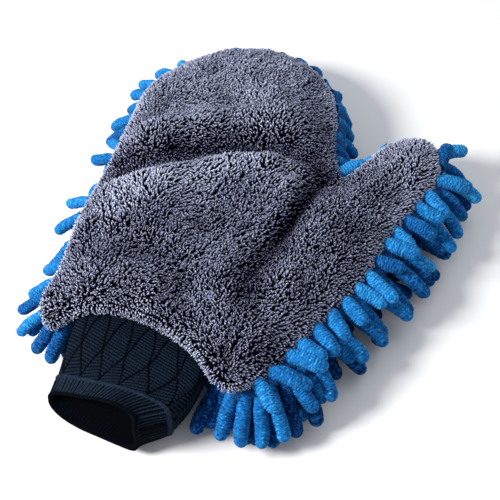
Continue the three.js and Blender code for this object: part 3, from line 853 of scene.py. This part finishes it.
def edge_tier(number, sewn, pile_line):
    """One tier of noodles that splay outwards. The first starts from the pile's border."""
    inset, spacing, start, finish, length, wander, shading_tone = TIERS[number]
    facing = outward(pile_line if number == 0 else sewn)
    line = pile_line + facing * 0.8 if number == 0 else sewn - facing * inset
    travelled = np.cumsum(np.linalg.norm(np.diff(line, axis=0, append=line[:1]), axis=1))
    count = int(travelled[-1] / spacing)
    marks = (np.arange(count) + number % 2 / 2) * travelled[-1] / count
    marks = marks + rng.uniform(-ROOT_JITTER, ROOT_JITTER, count)
    index = np.clip(np.searchsorted(travelled, marks % travelled[-1]), 0, len(line) - 1)
    index = index[line_distance(*sewn[index].T, WRIST) >= EDGE_WRIST_GAP]
    spot, out = line[index], facing[index]
    clear = line_distance(*spot.T, OUTLINE, closed=True) > inset * 0.86
    sparse = (out[:, 0] < -0.5) & (rng.uniform(0, 1, len(index)) < SPARSE_SHARE)
    keep = (clear | (number == 0)) & ~(sparse & (number < 2))
    spot, out = spot[keep], out[keep]
    n = len(spot)
    hidden = tucked(spot, out)
    spread = splay(out) * (1 - 0.5 * hidden)
    shorter = (1 - 0.4 * hidden) * (1 - 0.15 * smoothstep(-out[:, 0], 0.1, 0.8))
    height = np.full(n, FIRST_TIER_HEIGHT) if number == 0 else palm_under(*spot.T) + ROOT_LIFT
    return dict(
        root=np.column_stack([spot, height]),
        heading=np.arctan2(out[:, 1], out[:, 0]) + rng.normal(0, wander, n),
        shading_tone=shading_tone + rng.normal(0, 0.45, n),
        first=np.radians(start * spread + rng.normal(0, 7, n)),
        last=np.radians(finish * spread + rng.normal(0, 9, n)),
        length=length * rng.uniform(0.8, 1.1, n) * shorter,
    )


def cuff_side_noodles():
    x, y, heading, first, last, length, shading_tone = np.array(CUFF_SIDE_NOODLES, float).T
    return dict(
        root=np.column_stack([x, y, np.full(len(x), CUFF_SIDE_HEIGHT)]), heading=np.radians(heading),
        shading_tone=shading_tone, first=np.radians(first), last=np.radians(last), length=length,
    )


def edge_noodles():
    """Tiers all round the sewn edge, and the noodles beside the cuff."""
    sewn, pile_line = inset_outline(0), inset_outline(PILE_INSETS)
    parts = [edge_tier(number, sewn, pile_line) for number in range(len(TIERS))]
    parts.append(cuff_side_noodles())
    return {key: np.concatenate([part[key] for part in parts]) for key in parts[0]}


def add_noodles():
    rows = {}
    sets = [(edge_noodles(), EDGE_SHAPE), (inner_noodles(), INNER_SHAPE)]
    for number, (noodles, shape) in enumerate(sets):
        x, y = noodles["root"][:, 0], noodles["root"][:, 1]
        radii = NOODLE_RADIUS * rng.uniform(0.93, 1.06, len(x))
        noodles["radius"] = radii * (1 - 0.2 * smoothstep(-np.cos(noodles["heading"]), 0.1, 0.8))
        noodles["sway"] = rng.normal(0, 0.2, len(x))
        names = row_names(x, y)
        for name in sorted(set(names)):
            own = {key: values[names == name] for key, values in noodles.items()}
            part = noodle_mesh(own, number * 1000 + sum(map(ord, name)), **shape)
            rows.setdefault(name, []).append(part)
    for name, parts in sorted(rows.items()):
        points, quads, caps, quad_picks, cap_picks = zip(*parts)
        starts = np.cumsum([0] + [len(p) for p in points])
        quads = np.vstack([q + start for q, start in zip(quads, starts)])
        caps = np.vstack([c + start for c, start in zip(caps, starts)])
        obj = make_object(f"chenille_{name}", np.vstack(points), [quads, caps], NOODLE_PAINTED_SHADES,
                          np.concatenate(quad_picks + cap_picks))
        fasten(obj, ZONES.index(name.split("_")[0]))
        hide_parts(f"noodle_row_{name}")


# ---- edge seam ----


def add_seam():
    """The palm's turned-up edge, from the outline to the pile, with overcast stitches along it."""
    outer, border = inset_outline(0.8), inset_outline(PILE_INSETS)
    out = outward(border)
    low, high = outer, border - out * 1.4
    rings = np.stack([np.column_stack([low + (high - low) * share, np.full(len(low), z)])
                      for share, z in SEAM_SECTION], axis=1)
    left, right, top = SEAM_GAP
    sewn = ~((outer[:, 1] < top) & (outer[:, 0] > left) & (outer[:, 0] < right))
    zones = zone_of(*border.T)
    count, sides = rings.shape[:2]
    i, k = np.meshgrid(np.arange(count), np.arange(sides), indexing="ij")
    j, m = (i + 1) % count, (k + 1) % sides
    around = np.stack([i * sides + k, j * sides + k, j * sides + m, i * sides + m], axis=-1)
    for zone, word in enumerate(ZONES):
        here = (zones == zone) & sewn
        quads = around[here & np.roll(sewn, -1)].reshape(-1, 4)
        used, own = np.unique(quads, return_inverse=True)
        points, own = rings.reshape(-1, 3)[used], own.reshape(quads.shape)
        stitches, faces = stitch_loops(border[here], out[here])
        picks = np.concatenate([np.zeros(len(own)), np.ones(len(faces))])
        obj = make_object(f"seam_{word}", np.vstack([points, stitches]),
                          [np.vstack([own, faces + len(used)])], [PALM_GROUND, THREAD], picks)
        fasten(obj, zone)
        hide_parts(*(["edge_seam_hand_left", "edge_seam_hand_right"] if zone == 0
                           else [f"edge_seam_{word}"]))


def stitch_loops(spots, out):
    """Short threads that wrap the seam's outer edge."""
    n, steps, sides = len(spots), 7, 4
    turns = np.radians(np.linspace(-100, 100, steps))[:, None]
    corners = math.pi / 2 * np.arange(sides)[:, None]
    up = np.array([0, 0, 1])
    along = np.column_stack([-out[:, 1], out[:, 0], np.zeros(n)])[:, None]
    out = np.column_stack([out, np.zeros(n)])[:, None]
    centre = np.column_stack([spots, np.full(n, STITCH_HEIGHT)])[:, None] + np.sin(turns) * up
    centre = centre - out * (1.6 - STITCH_REACH * np.cos(turns))
    centre = centre + along * (STITCH_SLANT * np.linspace(-1, 1, steps))[:, None]
    radial = (out * np.cos(turns) + up * np.sin(turns))[:, :, None]
    around = radial * np.cos(corners) + along[:, :, None] * np.sin(corners)
    return repeated(centre[:, :, None] + STITCH_RADIUS * around, grid_quads(steps, sides))


# ---- cuff ----


def cuff_angles(count, place=None):
    """Angles evenly spaced round the section: a plain one, or the cuff's own at a place along it."""
    dense = np.linspace(0, 2 * math.pi, 2001)
    wide, high = PLAIN_SECTION
    x = wide * np.sign(np.cos(dense)) * np.abs(np.cos(dense)) ** (2 / SECTION_POWER)
    z = high * np.sign(np.sin(dense)) * np.abs(np.sin(dense)) ** (2 / SECTION_POWER)
    if place is not None:
        x, _, z = cuff_points(np.full(len(dense), place), dense, 0.0).T
    length = np.concatenate([[0], np.cumsum(np.hypot(np.diff(x), np.diff(z)))])
    at = np.linspace(0, length[-1], count, endpoint=False)
    return np.interp(at, length, dense), length[-1]


def cuff_points(t, angle, depth):
    """Points of the cuff: t from root to hem, angle round it and depth inwards from its outside."""
    ease = smoothstep(t, CUFF_STRAIGHT, 1)
    mix = {k: ROOT[k] + (END[k] - ROOT[k]) * (t if k == "y" else ease) for k in ROOT}
    c, s = np.cos(angle), np.sin(angle)
    power = SECTION_POWER + 5 * ease * smoothstep(c, 0, 0.8)
    cx = np.sign(c) * np.abs(c) ** (2 / power)
    sz = np.sign(s) * np.abs(s) ** (2 / power)
    lip = (LOWER_LIP * (1 - s) + RIGHT_LIP * (1 + c)) / 2
    bulge = SIDE_BULGE * smoothstep(t, 0.1, 0.7) - SIDE_TUCK * smoothstep(t, 0.75, 1)
    closed = ease * smoothstep(-cx, -0.6, 1.0)
    high = (mix["high"] - depth) * (1 - 0.55 * closed)
    high = high - CUFF_PRESS * (1 - smoothstep(t, 0.35, 0.75)) * (s > 0)
    return np.stack([mix["x"] + (mix["wide"] - depth) * cx + bulge * ((1 + cx) / 2) ** 2,
                     mix["y"] - lip * t * t,
                     mix["z"] - 8.0 * closed + high * sz], axis=-1)


def ripple(angle, crests):
    """A wave with so many crests round the cuff, at evenly spaced angles."""
    return np.cos(np.arange(len(angle)) / len(angle) * crests * 2 * math.pi)[None, :]


def tube(t, angle, depth):
    """A grid round the cuff as points and quads. t and depth run along it and round it."""
    points = cuff_points(*np.meshgrid(t, angle, indexing="ij"), depth)
    return points.reshape(-1, 3), grid_quads(*points.shape[:2])


def knit_relief(along, around):
    """Tall leaf shapes filled with fine rungs and parted by crossing grooves: height, and the low stitches
    that take painted shade.
    """
    wave = 0.8 * np.sin(along / 5.0)
    grooves = np.zeros(np.broadcast(along, around).shape)
    cells = 0
    for sign in (1, -1):
        u = (around + sign * (LEAF_LEAN * along + wave)) / LEAF_WIDTH
        distance = np.abs(u - np.round(u)) * LEAF_WIDTH
        grooves = grooves - GROOVE_DEPTH * np.exp(-((distance / GROOVE_WIDTH) ** 2))
        cells = cells + np.floor(u)
    tilt = np.where(cells % 2 > 0.5, RUNG_TILT, -RUNG_TILT)
    rungs = np.cos(2 * math.pi * (along + tilt * around) / RUNG_PITCH)
    stitches = np.cos(2 * math.pi * around / STITCH_PITCH)
    height = grooves + RUNG_HEIGHT * rungs + STITCH_RELIEF * stitches
    return height, height + 0.03 * stitches < -0.05


def add_outer_knit():
    angle, perimeter = cuff_angles(330)
    around = np.arange(len(angle)) / len(angle) * perimeter
    t = np.linspace(0, HEM_START, 126)
    along = t * CUFF_LENGTH
    relief, groove_shade = knit_relief(along[:, None], around[None, :])
    wrinkle = 0.5 * np.sin(around / 9.0 + 1.3)[None, :] * np.sin(along / 11.0)[:, None]
    fade = smoothstep(HEM_START - t, 0, 0.03)[:, None]
    points, quads = tube(t, angle, -(relief * fade + wrinkle * fade) + 0.25)
    # The grooves take the painted-shade knit.
    outer = make_object("cuff_outer", points, [quads], [KNIT, KNIT_SHADED], groove_shade.reshape(-1)[quads[:, 0]])
    finish_cuff(outer, "cuff_outer_knit")
    return perimeter


def add_hem():
    angle, mouth = cuff_angles(520, 0.9)
    rib = ripple(angle, round(mouth / HEM_RIB_PITCH))
    t = np.array([step[0] for step in HEM_STEPS])
    depth = np.array([step[1] for step in HEM_STEPS])[:, None]
    step = np.arange(len(t))
    ribbed = smoothstep(t, 0.812, 0.83) * (1 - smoothstep(t, 0.955, 0.972))
    ribbed = np.where(step < HEM_INSIDE, ribbed, 0.5 * (step >= HEM_LINED))[:, None]
    points, quads = tube(t, angle, depth - HEM_RIB_HEIGHT * rib * ribbed)
    # Painted shade on the rib valleys, and on the rim and inside from HEM_RIM on.
    hem_shade = ((rib > 0.2) & (ribbed > 0.3)) | (step >= HEM_RIM)[:, None]
    hem = make_object("cuff_hem_band", points, [quads], [KNIT_RIB, KNIT_SHADED],
                      hem_shade.reshape(-1)[quads[:, 0]])
    finish_cuff(hem, "cuff_hem")


def add_inner_layer(perimeter):
    angle, _ = cuff_angles(150)
    t = np.linspace(*INNER_REACH, 40)
    wavy = 0.25 * ripple(angle, perimeter / 3.0)
    depth = 1.8 + 1.0 * smoothstep(t, 0.1, 0.5)[:, None] + 0.5 + wavy * smoothstep(t, 0.1, 0.4)[:, None]
    points, quads = tube(t, angle, depth)
    inner = make_object("cuff_inner", points, [quads[:, ::-1]], [KNIT_INSIDE])
    finish_cuff(inner, "cuff_inner_layer")


def add_elastic():
    angle, _ = cuff_angles(150)
    t = np.linspace(*ELASTIC_REACH, 12)
    points, quads = tube(t, angle, 1.95 + 0.15 * np.cos(t * 400)[:, None])
    band = make_object("cuff_elastic_band", points, [quads], [ELASTIC])
    finish_cuff(band, "cuff_elastic")


def add_cuff():
    perimeter = add_outer_knit()
    add_hem()
    add_inner_layer(perimeter)
    add_elastic()


def finish_cuff(obj, node):
    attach(obj, "cuff")
    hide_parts(node)


# ---- stage ----


def aim(obj, target):
    obj.rotation_euler = (Vector(target) - obj.location).to_track_quat("-Z", "Y").to_euler()


def add_camera():
    data = bpy.data.cameras.new("camera")
    data.sensor_width = 36
    data.lens = 69.75
    camera = add_object("camera", data)
    turn, rise, distance = math.radians(22), math.radians(54), 0.583
    target = Vector((0.0005, -0.0055, 0.0))
    back = Vector((math.sin(turn) * math.cos(rise), -math.cos(turn) * math.cos(rise), math.sin(rise)))
    camera.location = target + back * distance
    aim(camera, target)
    bpy.context.scene.camera = camera


def add_area_light(name, place, size, power, color):
    data = bpy.data.lights.new(name, "AREA")
    data.shape = "DISK"
    data.size = size
    data.energy = power
    data.color = color
    light = add_object(name, data)
    light.location = place
    aim(light, (0, 0, 0.02))


def add_stage():
    floor = woven("floor", (236, 236, 238), (240, 240, 241), 4, 0.0)
    mesh = bpy.data.meshes.new("floor")
    r = 6.0
    mesh.from_pydata([(-r, -r, 0), (r, -r, 0), (r, r, 0), (-r, r, 0)], [], [(0, 1, 2, 3)])
    mesh.materials.append(floor)
    plane = add_object("floor", mesh)
    add_area_light("key", (-0.66, -0.50, 0.62), 0.32, 17.0, (1.0, 0.98, 0.95))
    add_area_light("fill", (0.3, 0.8, 1.0), 1.2, 5.0, (0.92, 0.96, 1.0))
    world = bpy.data.worlds.new("world")
    world.use_nodes = True
    sky = world.node_tree.nodes["Background"]
    set_inputs(sky, {"Color": (0.93, 0.96, 1.0, 1), "Strength": 0.42})
    bpy.context.scene.world = world
    bpy.context.scene.view_settings.view_transform = "Standard"


# ---- the mitt ----

add_camera()
add_stage()
pile = add_pile()
add_panel("back_cloth", PILE_BORDER, GROUND_SPACING, back_ground, GROUND, GROUND_THICKNESS,
          [["back_panel_hand"], ["back_panel_fingers", "back_fold_knuckles"],
           ["back_panel_thumb", "back_fold_thumb"]])
add_panel("palm_cloth", OUTLINE - outward(OUTLINE) * PALM_INSET, PALM_SPACING,
          lambda x, y: palm_under(x, y) + PALM_LIFT, PALM_GROUND, PALM_THICKNESS,
          [[f"palm_panel_{word}"] for word in ZONES])
INNER_BORDER = inset_outline(LINER_INSET, 2.5)
add_panel("back_liner", INNER_BORDER, LINER_SPACING, lambda x, y: back_ground(x, y) - BACK_LINER_DROP,
          LINING, LINER_THICKNESS,
          [[f"back_lining_{word}"] for word in ZONES])
add_panel("palm_liner", INNER_BORDER, LINER_SPACING, lambda x, y: palm_under(x, y) + PALM_LINER_LIFT,
          LINING, LINER_THICKNESS,
          [[f"palm_lining_{word}"] for word in ZONES])
add_noodles()
add_seam()
add_cuff()
